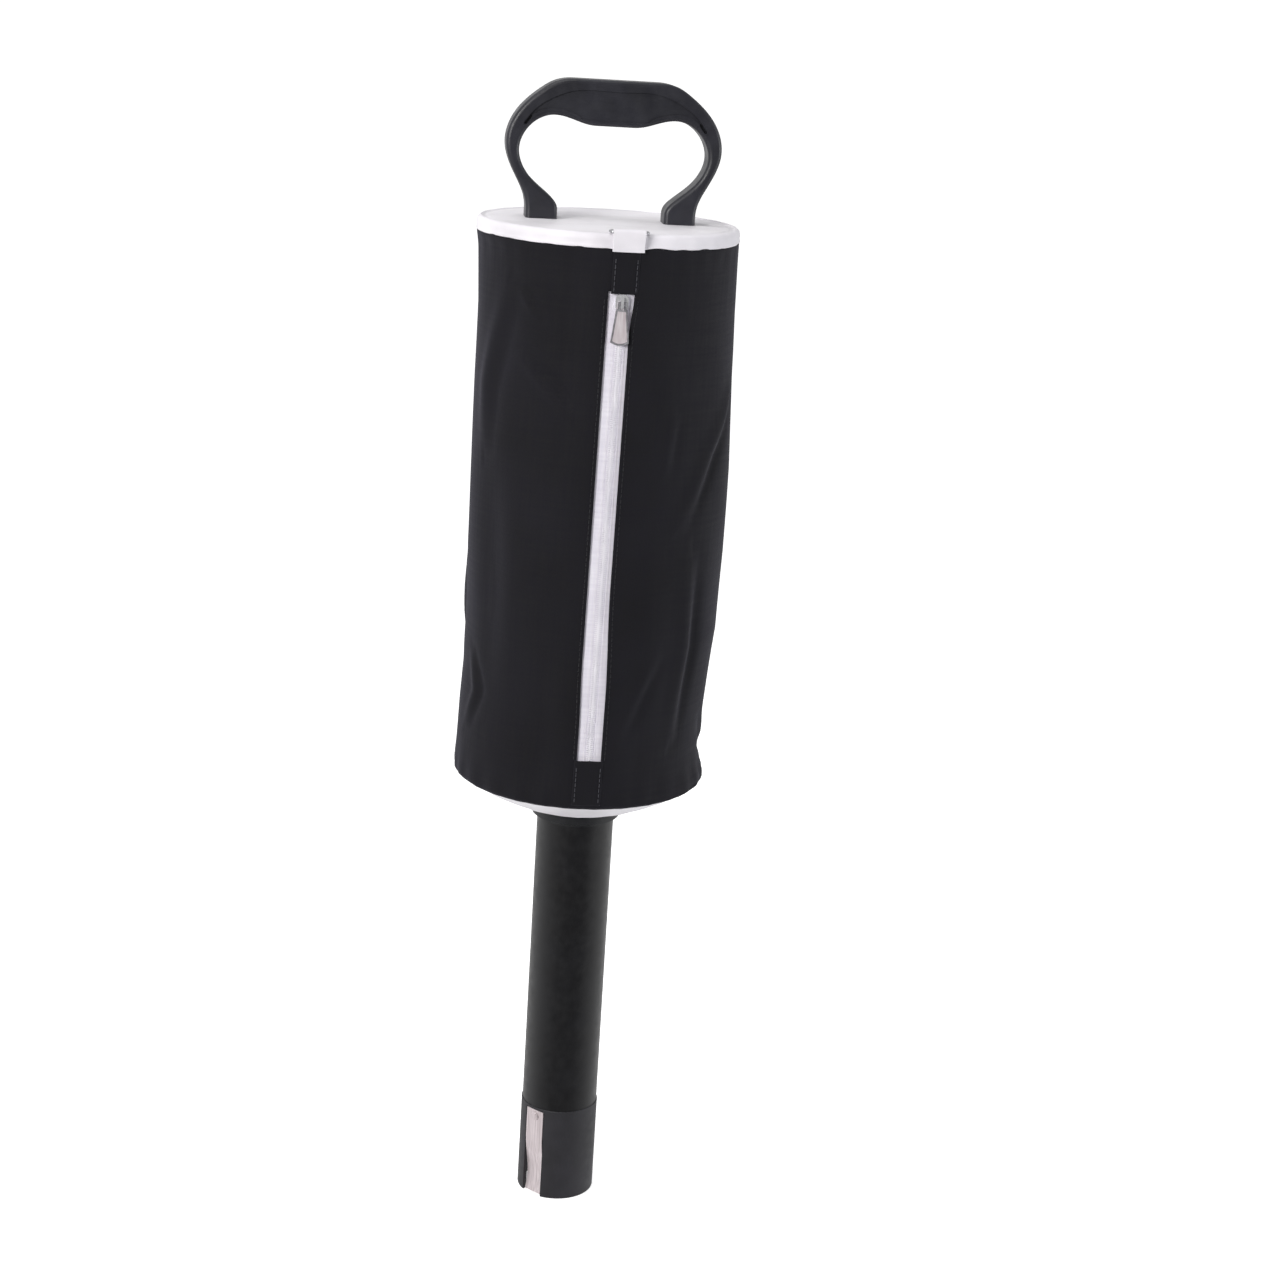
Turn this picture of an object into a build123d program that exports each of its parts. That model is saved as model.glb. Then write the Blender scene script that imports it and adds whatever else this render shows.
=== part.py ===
from build123d import *

import os
from math import atan2, cos, degrees, radians, sin

# A golf ball shag bag: a pick-up tube with two leaf springs in its mouth, a zipped ball bag
# hung round the tube and a moulded carry handle on top.
# Millimetres. The origin is the centre of the tube's mouth, +Z runs up the tube and the zipped
# front faces -Y. Angles round the tube are counted from the front, positive towards +X.

# Tube and nozzle, sized by the 42.67 mm golf ball that has to roll up inside
bore_radius = 22.3
tube_radius = 25.0
nozzle_radius = 25.55
nozzle_height = 64.3
spigot_radius = 23.1
spigot_length = 20.0
glue_gap = 0.05

# Leaf springs
leaf_angles = (-45.5, 134.5)
leaf_width = 14.0
leaf_thickness = 0.5
leaf_face = 24.55
leaf_top = 62.0
leaf_bend = 43.0
leaf_foot = 0.6
leaf_bow_height = 14.0
leaf_bow_distance = 20.85
leaf_foot_distance = 22.6
slot_width = 15.4
rivet_height = 57.5
rivet_radius = 1.5

# Bag
bag_radius = 80.4
cloth = 1.0
hem_height = 300.2
seam_height = 643.7
cover_height = 652.5
cover_skin = 1.2
board_thickness = 4.0
flange_height = 275.0
flange_radius = 28.6

# Tube's upper end
socket_flange = 4.5
socket_radius = 56.0
hub_radius = 28.7
hub_bottom = 620.0
pilot_radius = 1.45
hub_screw_angles = (0, 120, 240)
window_width = 43.6
window_bottom = 545.0
window_top = 612.0
window_corner = 12.0

# Zipper, whose line leans a little to the right going up
zip_bottom = 329.5
zip_top = 619.2
zip_shift = 2.0
window_of_zip = 15.0
tape_half = 13.0
chain_gap = 0.7
coil_width = 1.7
tape_face = 78.9
tape_thickness = 0.6
coil_height = 1.2
slider_height = 613.0
slider_length = 9.2
slider_width = 7.6

# Ring tab and D-ring
tab_centre = 4.0
tab_width = 19.0
ring_wire = 0.9
ring_reach = 82.6
ring_height = cover_height + ring_wire + 0.3

# Handle
handle_depth = 21.0
handle_top = 736.0
foot_inner = 32.7
foot_outer = 51.9
screw_spacing = 9.6

zip_lean = degrees(atan2(2 * zip_shift, zip_top - zip_bottom))
zip_middle = (zip_bottom + zip_top) / 2
inner_cloth = bag_radius - cloth
board_top = cover_height - cover_skin
board_bottom = board_top - board_thickness
socket_bottom = board_bottom - socket_flange
tube_top = board_bottom - 2.0
spigot_bottom = nozzle_height - spigot_length
foot_centre = (foot_inner + foot_outer) / 2
hub_screw_height = (hub_bottom + socket_bottom) / 2

across_zip = (cos(radians(zip_lean)), 0, -sin(radians(zip_lean)))
along_zip = (sin(radians(zip_lean)), 0, cos(radians(zip_lean)))

os.makedirs("parts", exist_ok=True)


def write(part, label):
    """Label one finished piece and write its STEP file."""
    part.label = label
    export_step(part, f"parts/{label}.step")


def radial_plane(angle, distance, height):
    """A plane that faces away from the tube: x runs round it, y up and z outwards."""
    turn = radians(angle)
    outward = (sin(turn), -cos(turn), 0)
    origin = (distance * outward[0], distance * outward[1], height)
    return Plane(origin=origin, x_dir=(cos(turn), sin(turn), 0), z_dir=outward)


def zip_face(distance):
    """A plane facing the front at this distance from the tube's axis, with y up the zip line."""
    return Plane(origin=(0, -distance, zip_middle), x_dir=across_zip, z_dir=(0, -1, 0))


def zip_section(height):
    """A plane square to the zip line at this height, with z up the line and y to the back."""
    drift = (height - zip_middle) * along_zip[0] / along_zip[2]
    return Plane(origin=(drift, 0, height), x_dir=across_zip, z_dir=along_zip)


def curved_strip(section, left, right, inner, outer, length):
    """A strip that follows the bag's front, from left to right of the section's centre."""
    with BuildPart() as strip:
        with BuildSketch(section):
            Circle(outer)
            Circle(inner, mode=Mode.SUBTRACT)
            with Locations(((left + right) / 2, -outer)):
                Rectangle(right - left, outer, mode=Mode.INTERSECT)
        extrude(amount=length)
    return strip.part


def turned(points):
    """A solid of revolution from a profile of (radius, height) points."""
    with BuildPart() as body:
        with BuildSketch(Plane.XZ):
            with BuildLine():
                Polyline(*points, close=True)
            make_face()
        revolve(axis=Axis.Z)
    return body.part


# ---- Tube and its mouth ----

with BuildPart() as tube:
    with BuildSketch(Plane.XY.offset(spigot_bottom)):
        Circle(spigot_radius)
    extrude(amount=spigot_length)
    with BuildSketch(Plane.XY.offset(nozzle_height)):
        Circle(tube_radius)
    extrude(amount=tube_top - nozzle_height)
    with BuildSketch(Plane.XY.offset(spigot_bottom)):
        Circle(bore_radius)
    extrude(amount=tube_top - spigot_bottom, mode=Mode.SUBTRACT)
    # The balls spill into the bag through two windows near the top
    with BuildSketch(Plane.YZ.offset(-tube_radius)):
        with Locations((0, (window_bottom + window_top) / 2)):
            RectangleRounded(window_width, window_top - window_bottom, window_corner)
    extrude(amount=2 * tube_radius, mode=Mode.SUBTRACT)
    for angle in leaf_angles:
        with BuildSketch(radial_plane(angle, 0, rivet_height)):
            Circle(rivet_radius + glue_gap)
        extrude(amount=tube_radius, mode=Mode.SUBTRACT)
    # Pilot holes for the three screws in the socket's hub
    for angle in hub_screw_angles:
        with BuildSketch(radial_plane(angle, 0, hub_screw_height)):
            Circle(pilot_radius)
        extrude(amount=tube_radius + 1, mode=Mode.SUBTRACT)
write(tube.part, "tube")

leaf_relief = 0.4
seat = leaf_face - leaf_thickness - 2 * glue_gap
seat_top = leaf_top + 0.6
relief_bottom = rivet_height + 2
with BuildPart() as nozzle:
    with BuildSketch():
        Circle(nozzle_radius)
    extrude(amount=nozzle_height)
    chamfer(nozzle.edges().group_by(Axis.Z)[-1], 0.4)
    fillet(nozzle.edges().group_by(Axis.Z)[0], 0.6)
    with BuildSketch():
        Circle(bore_radius)
    extrude(amount=spigot_bottom, mode=Mode.SUBTRACT)
    with BuildSketch(Plane.XY.offset(spigot_bottom)):
        Circle(spigot_radius + glue_gap)
    extrude(amount=spigot_length, mode=Mode.SUBTRACT)
    for angle in leaf_angles:
        # Open slot that the leaf works in, and above it the seat that the leaf lies on
        with BuildSketch(radial_plane(angle, 0, leaf_bend / 2)):
            Rectangle(slot_width, leaf_bend)
        extrude(amount=nozzle_radius + 1, mode=Mode.SUBTRACT)
        with BuildSketch(radial_plane(angle, seat, (leaf_bend + seat_top) / 2)):
            Rectangle(slot_width, seat_top - leaf_bend)
        extrude(amount=5, mode=Mode.SUBTRACT)
        # Room behind the leaf's top end, which tips inwards as its foot moves out
        with BuildSketch(radial_plane(angle, seat - leaf_relief, (relief_bottom + leaf_top) / 2)):
            Rectangle(slot_width, leaf_top - relief_bottom)
        extrude(amount=5, mode=Mode.SUBTRACT)
        with BuildSketch(radial_plane(angle, 0, rivet_height)):
            Circle(rivet_radius + glue_gap)
        extrude(amount=nozzle_radius, mode=Mode.SUBTRACT)
write(nozzle.part, "nozzle")


def leaf_spring(angle):
    """A flat strip of spring steel, bowed into the bore and back to the wall at its foot."""
    turn = radians(angle)
    middle = leaf_face - leaf_thickness / 2
    # Profile plane: x is the distance from the axis and y the height
    outward = (sin(turn), -cos(turn), 0)
    profile = Plane(origin=(0, 0, 0), x_dir=outward, z_dir=(-cos(turn), -sin(turn), 0))
    with BuildPart() as leaf:
        with BuildSketch(profile):
            with BuildLine():
                Line((middle, leaf_top), (middle, leaf_bend))
                Spline(
                    (middle, leaf_bend),
                    (leaf_bow_distance, leaf_bow_height),
                    (leaf_foot_distance, leaf_foot),
                    tangents=[(0, -1), (0.3, -1)],
                )
            trace(line_width=leaf_thickness)
        extrude(amount=leaf_width / 2, both=True)
        with BuildSketch(radial_plane(angle, 0, rivet_height)):
            Circle(rivet_radius + 0.2)
        extrude(amount=nozzle_radius, mode=Mode.SUBTRACT)
    return leaf.part


for number, angle in enumerate(leaf_angles, 1):
    write(leaf_spring(angle), f"leaf_spring_{number}")

head_gap = 0.3
rivet_head_radius = 3.0
rivet_head_height = 0.9
rivet_start = bore_radius - 0.5
with BuildPart() as leaf_rivets:
    for angle in leaf_angles:
        with BuildSketch(radial_plane(angle, rivet_start, rivet_height)):
            Circle(rivet_radius)
        extrude(amount=leaf_face + head_gap + 0.5 - rivet_start)
        with BuildSketch(radial_plane(angle, rivet_start, rivet_height)):
            Circle(rivet_radius + 0.7)
        extrude(amount=0.35)
        with BuildSketch(radial_plane(angle, leaf_face + head_gap, rivet_height)):
            Circle(rivet_head_radius)
        extrude(amount=rivet_head_height, taper=35)
write(leaf_rivets.part, "leaf_rivets")

# ---- Collar where the tube leaves the bag ----

sleeve_bottom = 267.0
sleeve_radius = 25.6
thread_top = 288.0
thread_radius = 27.3
sleeve_bore = tube_radius + glue_gap
tube_collar = turned(
    [
        (sleeve_bore, sleeve_bottom),
        (sleeve_radius, sleeve_bottom),
        (sleeve_radius, sleeve_bottom + 0.9),
        (flange_radius, flange_height - 5.7),
        (flange_radius, flange_height),
        (thread_radius, flange_height),
        (thread_radius, thread_top),
        (sleeve_bore, thread_top),
    ]
)
write(tube_collar, "tube_collar")

# The ring nut and the cover under it share one hole round the collar's thread
cover_seat = 34.0
coat = 1.3
thread_hole = thread_radius + 0.15
nut_radius = cover_seat - 3
nut_height = 7.0
with BuildPart() as clamp_ring:
    with BuildSketch(Plane.XY.offset(flange_height + coat)):
        Circle(nut_radius)
        with PolarLocations(nut_radius, 6):
            Rectangle(4, 7)
        Circle(thread_hole, mode=Mode.SUBTRACT)
    extrude(amount=nut_height)
write(clamp_ring.part, "clamp_ring")

# ---- Bottom of the bag ----

rim_radius = inner_cloth - 0.7
bottom_cover = turned(
    [
        (thread_hole, flange_height),
        (cover_seat, flange_height),
        (rim_radius, hem_height - 1.8),
        (rim_radius, hem_height - 0.2),
        (cover_seat - 0.3, flange_height + coat),
        (thread_hole, flange_height + coat),
    ]
)
write(bottom_cover, "bottom_cover")

hoop_wire = 1.6
with BuildPart() as bottom_hoop:
    Torus(inner_cloth - hoop_wire - 0.8, hoop_wire)
write(bottom_hoop.part.moved(Location((0, 0, hem_height + hoop_wire + 0.6))), "bottom_hoop")

piping = 1.0
with BuildPart() as bottom_piping:
    Torus(bag_radius - 0.5, piping)
write(bottom_piping.part.moved(Location((0, 0, hem_height - piping - 0.1))), "bottom_piping")

# ---- Bag wall and zipper ----

with BuildPart() as bag_wall:
    with BuildSketch(Plane.XY.offset(hem_height)):
        Circle(bag_radius)
        Circle(inner_cloth, mode=Mode.SUBTRACT)
    extrude(amount=seam_height - hem_height)
    with BuildSketch(zip_face(bag_radius / 2)):
        Rectangle(window_of_zip, zip_top - zip_bottom)
    extrude(amount=bag_radius, mode=Mode.SUBTRACT)
write(bag_wall.part, "bag_wall")

placket = 0.6
upper_placket_width = 16.0
lower_placket_width = 18.0
placket_inner = bag_radius + 0.05
placket_outer = placket_inner + placket


def placket_strip(centre, width, bottom, top):
    """A strip of the bag's cloth sewn over its front."""
    level = Plane.XY.offset(bottom)
    left = centre - width / 2
    return curved_strip(level, left, left + width, placket_inner, placket_outer, top - bottom)


placket_upper = placket_strip(tab_centre - 1, upper_placket_width, zip_top + 0.4, seam_height - 1.4)
write(placket_upper, "placket_upper")
placket_lower = placket_strip(-zip_shift, lower_placket_width, hem_height + 0.3, zip_bottom - 0.4)
write(placket_lower, "placket_lower")

tape_length = zip_top - zip_bottom + 16
tape_start = zip_section(zip_bottom - 8)
tape_inner = tape_face - tape_thickness
zipper_tape_left = curved_strip(tape_start, -tape_half, -chain_gap, tape_inner, tape_face, tape_length)
write(zipper_tape_left, "zipper_tape_left")
zipper_tape_right = curved_strip(tape_start, chain_gap, tape_half, tape_inner, tape_face, tape_length)
write(zipper_tape_right, "zipper_tape_right")

coil_end = chain_gap + coil_width
coil_length = zip_top - zip_bottom - 1.0
coil_start = zip_section(zip_bottom + 0.5)
coil_inner = tape_face + 0.05
coil_outer = tape_face + coil_height
zipper_coil_left = curved_strip(coil_start, -coil_end, -chain_gap, coil_inner, coil_outer, coil_length)
write(zipper_coil_left, "zipper_coil_left")
zipper_coil_right = curved_strip(coil_start, chain_gap, coil_end, coil_inner, coil_outer, coil_length)
write(zipper_coil_right, "zipper_coil_right")

stop_depth = 0.25
stop_width = 1.4
stop_x = coil_end - stop_width / 2
top_stop_y = zip_top - zip_middle + 2
with BuildPart() as zipper_top_stops:
    with BuildSketch(zip_face(tape_face + 0.05)):
        with Locations((-stop_x, top_stop_y), (stop_x, top_stop_y)):
            Rectangle(stop_width, 2.4)
    extrude(amount=stop_depth)
write(zipper_top_stops.part, "zipper_top_stops")

with BuildPart() as zipper_bottom_stop:
    with BuildSketch(zip_face(tape_face + 0.05)):
        with Locations((0, zip_bottom - zip_middle - 2.5)):
            Rectangle(2 * coil_end, 3.2)
    extrude(amount=stop_depth)
write(zipper_bottom_stop.part, "zipper_bottom_stop")

# Slider: a front plate with side flanges, a back plate behind the tapes, a post between them and
# a loop on the front that the pull hangs from
slider_y = slider_height - zip_middle
plate_face = tape_face + coil_height + 0.3
plate_thickness = 0.8
plate_corner = 2.2
flange_x = slider_width / 2 - 0.4
loop_width = 1.8
pivot_reach = plate_face + plate_thickness + 0.9
pull_thickness = 0.9
loop_inner = pivot_reach + 0.75
loop_top = slider_y + 3.4
loop_foot = slider_y - 2.8
with BuildPart() as zipper_slider:
    with BuildSketch(zip_face(plate_face)):
        with Locations((0, slider_y)):
            RectangleRounded(slider_width, slider_length, plate_corner)
    extrude(amount=plate_thickness)
    with BuildSketch(zip_face(tape_face + 0.3)):
        with Locations((-flange_x, slider_y), (flange_x, slider_y)):
            Rectangle(0.8, slider_length - 2 * plate_corner)
    extrude(amount=plate_face - tape_face + 0.1)
    with BuildSketch(zip_face(tape_inner - 1.4)):
        with Locations((0, slider_y)):
            RectangleRounded(slider_width, slider_length, plate_corner)
    extrude(amount=1.0)
    with BuildSketch(zip_face(tape_inner - 1.0)):
        with Locations((0, slider_y + slider_length / 2 - 1.4)):
            Rectangle(0.8, 2.2)
    extrude(amount=plate_face - tape_inner + 1.2)
    with BuildSketch(zip_face(plate_face + plate_thickness)):
        with Locations((0, loop_top - 0.6), (0, loop_foot + 0.6)):
            Rectangle(loop_width, 1.2)
    extrude(amount=loop_inner - plate_face - plate_thickness)
    with BuildSketch(zip_face(loop_inner)):
        with Locations((0, (loop_top + loop_foot) / 2)):
            Rectangle(loop_width, loop_top - loop_foot)
    extrude(amount=0.8)
write(zipper_slider.part, "zipper_slider")

# Pull: a bar under the slider's loop, two short arms and a tapering plate with a sunk panel
pivot_y = slider_y + 0.3
arm_outer = 2.5
arm_inner = 1.3
plate_top = pivot_y - 4.2
pull_foot = pivot_y - 25.3
foot_bulge = 1.6
foot_half = 5.5
shoulder_half = 3.4
pull_rim = 1.1
panel_depth = 0.25
panel_foot = pull_foot + foot_bulge + 0.9
panel_top = plate_top - 1.2
with BuildPart() as zipper_pull:
    with BuildSketch(zip_face(pivot_reach - pull_thickness / 2)):
        with BuildLine():
            Polyline(
                (foot_half, pull_foot + foot_bulge),
                (shoulder_half, plate_top),
                (arm_outer, plate_top + 0.6),
                (arm_outer, pivot_y + 0.45),
                (-arm_outer, pivot_y + 0.45),
                (-arm_outer, plate_top + 0.6),
                (-shoulder_half, plate_top),
                (-foot_half, pull_foot + foot_bulge),
            )
            foot_corner = (foot_half, pull_foot + foot_bulge)
            ThreePointArc((-foot_half, pull_foot + foot_bulge), (0, pull_foot), foot_corner)
        make_face()
        with Locations((0, pivot_y - 2.4)):
            Rectangle(2 * arm_inner, 3.9, mode=Mode.SUBTRACT)
    extrude(amount=pull_thickness)
    with BuildSketch(zip_face(pivot_reach + pull_thickness / 2)):
        with BuildLine():
            Polyline(
                (foot_half - pull_rim, panel_foot),
                (shoulder_half - 1.0, panel_top),
                (1.0 - shoulder_half, panel_top),
                (pull_rim - foot_half, panel_foot),
            )
            panel_corner = (foot_half - pull_rim, panel_foot)
            ThreePointArc((pull_rim - foot_half, panel_foot), (0, pull_foot + pull_rim), panel_corner)
        make_face()
    extrude(amount=-panel_depth, mode=Mode.SUBTRACT)
write(zipper_pull.part, "zipper_pull")

# ---- Top of the bag ----

half_spacing = screw_spacing / 2
screw_spots = [(side * foot_centre, depth) for side in (-1, 1) for depth in (-half_spacing, half_spacing)]
screw_radius = 1.9
cover_edge = 3.0
with BuildPart() as top_cover:
    with BuildSketch(Plane.XY.offset(seam_height + 0.1)):
        Circle(bag_radius)
    extrude(amount=cover_height - seam_height - 0.1)
    fillet(top_cover.edges().group_by(Axis.Z)[-1], cover_edge)
    with BuildSketch(Plane.XY.offset(seam_height + 0.1)):
        Circle(bag_radius - cover_skin)
    extrude(amount=board_top - seam_height - 0.1, mode=Mode.SUBTRACT)
    with BuildSketch(Plane.XY.offset(board_top)):
        with Locations(*screw_spots):
            Circle(screw_radius + glue_gap)
    extrude(amount=cover_skin, mode=Mode.SUBTRACT)
write(top_cover.part, "top_cover")

with BuildPart() as top_board:
    with BuildSketch(Plane.XY.offset(board_bottom)):
        Circle(bag_radius - cover_skin - 0.3)
        with Locations(*screw_spots):
            Circle(screw_radius + glue_gap, mode=Mode.SUBTRACT)
    extrude(amount=board_thickness)
    chamfer(top_board.edges().group_by(Axis.Z)[-1].sort_by(SortBy.LENGTH)[-1], 1.8)
write(top_board.part, "top_board")

with BuildPart() as tube_socket:
    with BuildSketch(Plane.XY.offset(socket_bottom)):
        Circle(socket_radius)
    extrude(amount=socket_flange)
    with BuildSketch(Plane.XY.offset(hub_bottom)):
        Circle(hub_radius)
    extrude(amount=socket_bottom - hub_bottom)
    with BuildSketch(Plane.XY.offset(hub_bottom)):
        Circle(tube_radius + glue_gap)
    extrude(amount=tube_top - hub_bottom, mode=Mode.SUBTRACT)
    with BuildSketch(Plane.XY.offset(socket_bottom)):
        with Locations(*screw_spots):
            Circle(screw_radius + glue_gap)
    extrude(amount=socket_flange, mode=Mode.SUBTRACT)
    for angle in hub_screw_angles:
        with BuildSketch(radial_plane(angle, 0, hub_screw_height)):
            Circle(pilot_radius)
        extrude(amount=hub_radius + 1, mode=Mode.SUBTRACT)
write(tube_socket.part, "tube_socket")

hub_head_radius = 2.7
hub_head_height = 1.6
with BuildPart() as socket_screws:
    for angle in hub_screw_angles:
        with BuildSketch(radial_plane(angle, bore_radius + 0.4, hub_screw_height)):
            Circle(pilot_radius - glue_gap)
        extrude(amount=hub_radius - bore_radius)
        with BuildSketch(radial_plane(angle, hub_radius + 0.02, hub_screw_height)):
            Circle(hub_head_radius)
        extrude(amount=hub_head_height, taper=20)
write(socket_screws.part, "socket_screws")

washer_thickness = 1.0
washer_radius = 4.2
screw_head = 3.5
screw_bite = 8.5
with BuildPart() as handle_washers:
    with BuildSketch(Plane.XY.offset(socket_bottom - washer_thickness)):
        with Locations(*screw_spots):
            Circle(washer_radius)
            Circle(screw_radius + 0.2, mode=Mode.SUBTRACT)
    extrude(amount=washer_thickness)
write(handle_washers.part, "handle_washers")

with BuildPart() as handle_screws:
    with BuildSketch(Plane.XY.offset(socket_bottom - washer_thickness)):
        with Locations(*screw_spots):
            Circle(screw_radius)
    extrude(amount=cover_height + screw_bite - socket_bottom + washer_thickness)
    with BuildSketch(Plane.XY.offset(socket_bottom - washer_thickness)):
        with Locations(*screw_spots):
            Circle(screw_head)
    extrude(amount=-2.4, taper=15)
write(handle_screws.part, "handle_screws")

# Ring tab: a folded strip sewn into the seam, closed round the D-ring's bar
fold_inner = ring_wire + 0.3
fold_outer = fold_inner + 0.8
tab_root = bag_radius + 1.3
with BuildPart() as ring_tab:
    with BuildSketch(Plane.YZ.offset(tab_centre - tab_width / 2)):
        with BuildSketch(mode=Mode.PRIVATE) as outline:
            with Locations((-ring_reach, ring_height)):
                Circle(fold_outer)
            with Locations((-tab_root, seam_height - 0.9)):
                Rectangle(1.0, 0.6)
            make_hull()
        add(outline.sketch)
        with BuildSketch(mode=Mode.PRIVATE) as hollow:
            with Locations((-ring_reach, ring_height)):
                Circle(fold_inner)
            with Locations((-tab_root, seam_height + 2.5)):
                Rectangle(0.1, 0.1)
            make_hull()
        add(hollow.sketch, mode=Mode.SUBTRACT)
    extrude(amount=tab_width)
write(ring_tab.part, "ring_tab")

# D-ring: a straight bar in the tab's fold and a bow that lies back on the cover
bar_half = 11.0
ring_corner = 2.0
ring_side = 5.0
ring_bow = 10.5
ring_plane = Plane(origin=(tab_centre, -ring_reach, ring_height), x_dir=(1, 0, 0), z_dir=(0, 0, 1))
with BuildPart() as d_ring:
    with BuildLine(ring_plane) as ring_path:
        bar = Line((0, 0), (bar_half - ring_corner, 0))
        corner = TangentArc(bar @ 1, (bar_half, ring_corner), tangent=bar % 1)
        side = Line(corner @ 1, (bar_half, ring_side))
        bow = ThreePointArc(side @ 1, (0, ring_bow), (-bar_half, ring_side))
        far_side = Line(bow @ 1, (-bar_half, ring_corner))
        far_corner = TangentArc(far_side @ 1, (-bar_half + ring_corner, 0), tangent=far_side % 1)
        Line(far_corner @ 1, (0, 0))
    with BuildSketch(Plane(origin=(tab_centre, -ring_reach, ring_height), z_dir=(1, 0, 0))):
        Circle(ring_wire)
    sweep(path=ring_path.wires()[0], transition=Transition.ROUND)
write(d_ring.part, "d_ring")

# ---- Handle ----

# Half outlines, from the foot up to the middle of the grip
handle_knee = cover_height + 4.5
grip_underside = 708.8
grip_half = 25.0
handle_edge = 2.6
panel_sink = 1.1
panel_ridge = 729.3
panel_floor = 711.9
panel_tip = (56.0, 706.5)
with BuildPart() as handle:
    with BuildSketch(Plane.XZ.offset(-handle_depth / 2)) as outline:
        with BuildLine() as half_outline:
            Line((foot_outer, cover_height), (foot_outer, handle_knee))
            Spline(
                (foot_outer, handle_knee),
                (57.2, 674.0),
                (65.5, 695.5),
                (59.6, 715.0),
                (44.4, 729.6),
                (grip_half, handle_top),
                tangents=[(0, 1), (-1, 0)],
            )
            Line((grip_half, handle_top), (0, handle_top))
            Line((0, handle_top), (0, grip_underside))
            Line((0, grip_underside), (11.0, grip_underside))
            Spline(
                (11.0, grip_underside),
                (24.0, 711.4),
                (38.0, 714.0),
                (50.6, 708.0),
                (57.4, 692.5),
                (51.0, 677.8),
                (38.4, 666.8),
                (foot_inner, handle_knee + 1),
                tangents=[(1, 0), (0, -1)],
            )
            Line((foot_inner, handle_knee + 1), (foot_inner, cover_height))
            Line((foot_inner, cover_height), (foot_outer, cover_height))
        make_face()
        mirror(about=Plane.YZ)
    extrude(amount=handle_depth)
    face_edges = handle.edges().filter_by(Plane.XZ)
    long_edges = face_edges.filter_by(lambda edge: edge.center().Z > cover_height + 1)
    fillet(long_edges, handle_edge)
    # Sunk panel on each side of the grip, deeper in a small notch at each end
    for side in (-1, 1):
        face = Plane(origin=(0, side * handle_depth / 2, 0), x_dir=(1, 0, 0), z_dir=(0, -1, 0))
        with BuildSketch(face) as panel:
            with BuildLine():
                Spline(
                    (0, panel_ridge),
                    (27.0, 728.6),
                    (43.0, 721.6),
                    panel_tip,
                    tangents=[(1, 0), (0.45, -1)],
                )
                Spline(
                    panel_tip,
                    (47.5, 715.4),
                    (37.0, 718.0),
                    (22.0, 714.0),
                    (0, panel_floor),
                    tangents=[(-0.6, 1), (-1, 0)],
                )
                Line((0, panel_floor), (0, panel_ridge))
            make_face()
            mirror(about=Plane.YZ)
        extrude(amount=side * panel_sink, mode=Mode.SUBTRACT)
        with BuildSketch(face):
            for end in (-1, 1):
                with Locations(Location((end * 53.0, 710.6), end * -52)):
                    SlotOverall(6.5, 1.8)
        extrude(amount=side * 3.0, mode=Mode.SUBTRACT)
    with BuildSketch(Plane.XY.offset(cover_height)):
        with Locations(*screw_spots):
            Circle(screw_radius + glue_gap)
    extrude(amount=screw_bite + 1, mode=Mode.SUBTRACT)
write(handle.part, "handle")
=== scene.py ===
import math

import bpy
import numpy as np
from mathutils import Matrix, Vector


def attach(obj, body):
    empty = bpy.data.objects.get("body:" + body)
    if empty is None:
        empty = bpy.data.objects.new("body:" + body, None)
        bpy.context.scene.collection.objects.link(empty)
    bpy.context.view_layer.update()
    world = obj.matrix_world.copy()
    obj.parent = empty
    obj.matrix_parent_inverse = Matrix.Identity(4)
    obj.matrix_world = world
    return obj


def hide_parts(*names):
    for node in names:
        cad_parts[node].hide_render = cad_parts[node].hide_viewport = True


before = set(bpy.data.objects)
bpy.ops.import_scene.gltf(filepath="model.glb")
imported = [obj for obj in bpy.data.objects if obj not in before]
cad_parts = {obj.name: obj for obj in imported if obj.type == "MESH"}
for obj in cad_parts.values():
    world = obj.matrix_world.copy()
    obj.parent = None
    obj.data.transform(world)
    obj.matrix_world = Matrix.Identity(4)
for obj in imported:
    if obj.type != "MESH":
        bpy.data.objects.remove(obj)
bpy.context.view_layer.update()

# Lengths below are in millimetres and angles in degrees from the front, positive towards +X.
MM = 0.001
BAG_RADIUS = 80.4
HEM = 300.2
SEAM = 643.7
ZIP_BOTTOM = 329.5
ZIP_TOP = 619.2
ZIP_MIDDLE = (ZIP_BOTTOM + ZIP_TOP) / 2
ZIP_SHIFT = 2.0
WINDOW = 7.5
TAPE_FACE = 78.9
TAB_X = 4.0
RING_Y = -82.6
RING_Z = 653.7
FOLD_DEPTH = 1.35
COVER_TOP = 652.45
CONE_SEAT = 29.4
CONE_REACH = 49.3
CONE_BOTTOM = 275.2
CONE_RISE = 23.7
CONE_BELLY = 2.3
CLOTH_THICKNESS = 0.9

# The camera's yaw, pitch and roll in degrees, its lens in millimetres and its place in metres.
CAMERA_TURNS = (7.168, 15.34, 3.546)
CAMERA_LENS = 66.31
CAMERA_PLACE = (-0.1504, -1.4311, 0.7876)


# ---------------------------------------------------------------- camera, light and stage

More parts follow.
